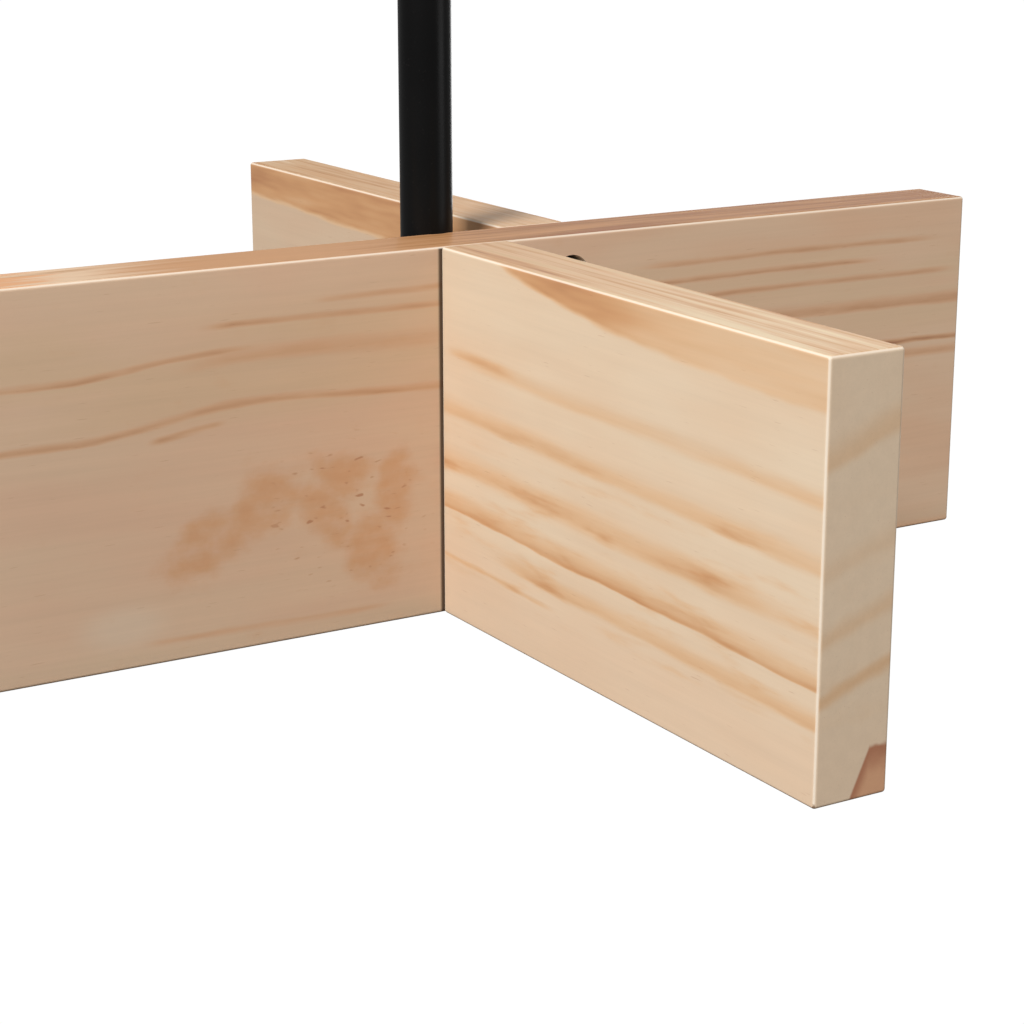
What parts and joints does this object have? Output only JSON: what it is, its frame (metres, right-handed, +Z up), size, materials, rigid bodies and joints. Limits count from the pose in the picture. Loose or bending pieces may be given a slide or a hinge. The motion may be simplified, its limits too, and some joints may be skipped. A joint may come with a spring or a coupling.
{
  "type": "ceiling mounted rack",
  "caption": "Ceiling mounted rack: a staggered cross of softwood boards on edge, bolted to a rigid black drop tube under a round ceiling plate with a sliding canopy.",
  "frame": {"origin": "centre of the ceiling plate's upper face, on the drop tube's axis", "axes": "+Z up to the ceiling, +X along the long board towards the side that the rear short board is stepped to, +Y from the front short board to the rear short board"},
  "size_m": [0.3, 0.3061, 0.4],
  "materials": {
    "pine_board": "planed pine with a thin clear satin coat",
    "beech_dowel": "plain turned beech",
    "black_enamel": "satin black enamel on steel",
    "black_steel": "black oxide steel, oiled",
    "zinc_steel": "bright zinc plate",
    "black_plastic": "fine grained black polyethylene",
    "natural_nylon": "natural nylon"
  },
  "bodies": {
    "rack": {"long_board": "pine_board", "front_short_board": "pine_board", "rear_short_board": "pine_board", "rear_board_screws": "black_steel", "tube_bolts": "black_steel", "barrel_nuts": "zinc_steel", "saddle_washers": "black_steel", "front_joint_dowels": "beech_dowel", "rear_joint_dowels": "beech_dowel", "drop_tube": "black_enamel", "tube_foot_plug": "black_plastic", "ceiling_plate": "zinc_steel", "plate_centre_screw": "zinc_steel", "tube_socket": "black_enamel", "socket_grub_screws": "black_steel"},
    "canopy_cup": {"canopy": "black_enamel", "canopy_bush": "natural_nylon", "canopy_collar": "black_enamel", "canopy_grub_screw": "black_steel"}
  },
  "joints": [
    {"name": "canopy_slide", "type": "slide", "parent": "rack", "child": "canopy_cup", "axis": [0, 0, -1], "range_m": [0, 0.12]}
  ]
}
